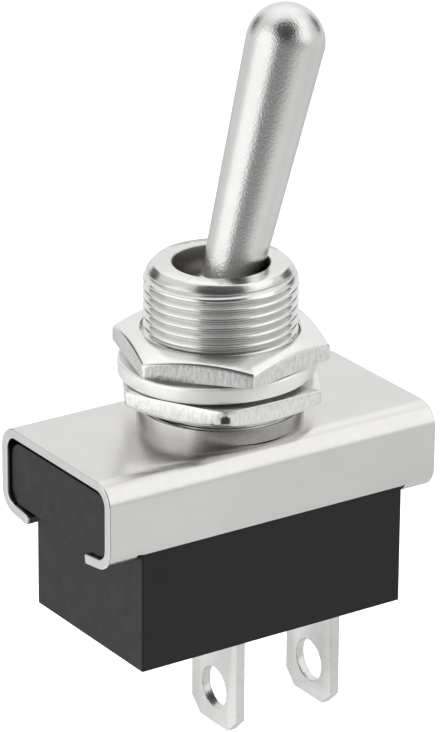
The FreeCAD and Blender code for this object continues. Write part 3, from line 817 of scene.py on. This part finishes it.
lift = shader_node(tree, "Emission", Color=(1.0, 1.0, 1.0, 1.0),
                   Strength=joined(tree, "MULTIPLY", path.outputs["Is Camera Ray"], FLOOR_LIFT))
mirrored = shader_node(tree, "Emission", Color=(1.0, 1.0, 1.0, 1.0), Strength=in_metal)
both = tree.nodes.new("ShaderNodeAddShader")
shown = shader_node(tree, "MixShader", Fac=path.outputs["Is Glossy Ray"])
for socket, shader in ((both.inputs[0], board.outputs["BSDF"]),
                       (both.inputs[1], lift.outputs["Emission"]),
                       (shown.inputs[1], both.outputs["Shader"]),
                       (shown.inputs[2], mirrored.outputs["Emission"]),
                       (tree.nodes["Material Output"].inputs["Surface"], shown.outputs["Shader"])):
    feed(tree, socket, shader)
floor_mesh.materials.append(paint)


# Light: a white room with soft windows to the left and right, a bright ceiling, a dark
# curtain in front, where the camera stands, and two dark screens behind. Two lamps add the
# plain light on dull surfaces.

ROOM_GLOW = 0.72
PLAIN_LIGHT = 0.60
LAMP_AIM = -5.0
# The places are given as they are for the floor.
PALE_WALL = (56, 15, 70, 20, 0.15)
CEILING = (56, 72, 48, 15, 0.30)
CURTAIN = (234, 0, 74, 5, 0.29)
HIGH_CURTAIN = (236, 50, 37, 27, 0.18)
BACK_SCREEN = (103, 14, 18, 8, 0.15)
RIGHT_SCREEN = (8, 14, 18, 8, 0.15)
LEFT_WINDOW = (172, 8, 38, 29, 1.18)
RIGHT_WINDOW = (303, 26, 28, 17, 1.15)
HIGH_WINDOW = (326, 50, 28, 12, 1.15)

world = bpy.data.worlds.new("studio")
bpy.context.scene.world = world
world.use_nodes = True
tree = world.node_tree
room = tree.nodes["Background"]
path = shader_node(tree, "LightPath")
way = shader_node(tree, "TexCoord").outputs["Generated"]
in_metal = joined(tree, "ADD", ROOM_GLOW, sector(tree, way, PALE_WALL),
                  sector(tree, way, CEILING))
in_metal = joined(tree, "MULTIPLY", in_metal,
                  sector(tree, way, CURTAIN, outside=1.0, change="LINEAR"),
                  sector(tree, way, HIGH_CURTAIN, outside=1.0),
                  sector(tree, way, BACK_SCREEN, outside=1.0),
                  sector(tree, way, RIGHT_SCREEN, outside=1.0))
in_metal = joined(tree, "MAXIMUM", in_metal, sector(tree, way, LEFT_WINDOW),
                  sector(tree, way, RIGHT_WINDOW), sector(tree, way, HIGH_WINDOW))
glossy = joined(tree, "MAXIMUM", path.outputs["Is Glossy Ray"],
                path.outputs["Is Transmission Ray"])
camera_seen = path.outputs["Is Camera Ray"]
rest = joined(tree, "SUBTRACT", 1.0, joined(tree, "MAXIMUM", camera_seen, glossy))
strength = joined(tree, "ADD", camera_seen, joined(tree, "MULTIPLY", glossy, in_metal),
                  joined(tree, "MULTIPLY", rest, PLAIN_LIGHT))
feed(tree, room.inputs["Strength"], strength)
feed(tree, room.inputs["Color"], (1.0, 1.0, 1.0, 1.0))


def lamp(name, place, width, height, power):
    """A soft box that points at the switch and shows only by its light."""
    data = bpy.data.lights.new(name, "AREA")
    data.shape = "RECTANGLE"
    data.size = width * 0.001
    data.size_y = height * 0.001
    data.energy = power
    made = bpy.data.objects.new(name, data)
    bpy.context.scene.collection.objects.link(made)
    made.visible_camera = False
    made.visible_glossy = False
    made.location = [c * 0.001 for c in place]
    aim = Vector((0.0, 0.0, LAMP_AIM)) - Vector(place)
    made.rotation_euler = aim.to_track_quat("-Z", "Y").to_euler()


lamp("overhead soft box", (120.0, -160.0, 420.0), width=300.0, height=220.0, power=2.4)
lamp("left soft box", (-420.0, 60.0, 160.0), width=260.0, height=320.0, power=1.6)


# Camera: a long lens, in front of the left end of the switch and above it. It is turned a
# little about its own axis, as the photograph's was.

AZIMUTH = math.radians(-33.976)
ELEVATION = math.radians(21.797)
ROLL = math.radians(0.397)
DISTANCE = 332.525
SHIFT_UP = 3.706
LENS = 210.93
FILM_WIDTH = 36.0
NEAREST = 10.0
FARTHEST = 20000.0

back = Vector((math.sin(AZIMUTH) * math.cos(ELEVATION),
               -math.cos(AZIMUTH) * math.cos(ELEVATION), math.sin(ELEVATION)))
level_right = (-back).cross(Vector((0.0, 0.0, 1.0))).normalized()
level_up = level_right.cross(-back)
right = math.cos(ROLL) * level_right + math.sin(ROLL) * level_up
up = math.cos(ROLL) * level_up - math.sin(ROLL) * level_right
stand = back * DISTANCE + up * SHIFT_UP + Vector((0.0, 0.0, PLATE_TOP))
view = bpy.data.cameras.new("camera")
view.sensor_width = FILM_WIDTH
view.lens = LENS
view.clip_start = NEAREST * 0.001
view.clip_end = FARTHEST * 0.001
camera = bpy.data.objects.new("camera", view)
bpy.context.scene.collection.objects.link(camera)
turn = Matrix((right, up, back)).transposed().to_4x4()
camera.matrix_world = Matrix.Translation(stand * 0.001) @ turn
bpy.context.scene.camera = camera
bpy.context.scene.view_settings.view_transform = "Standard"
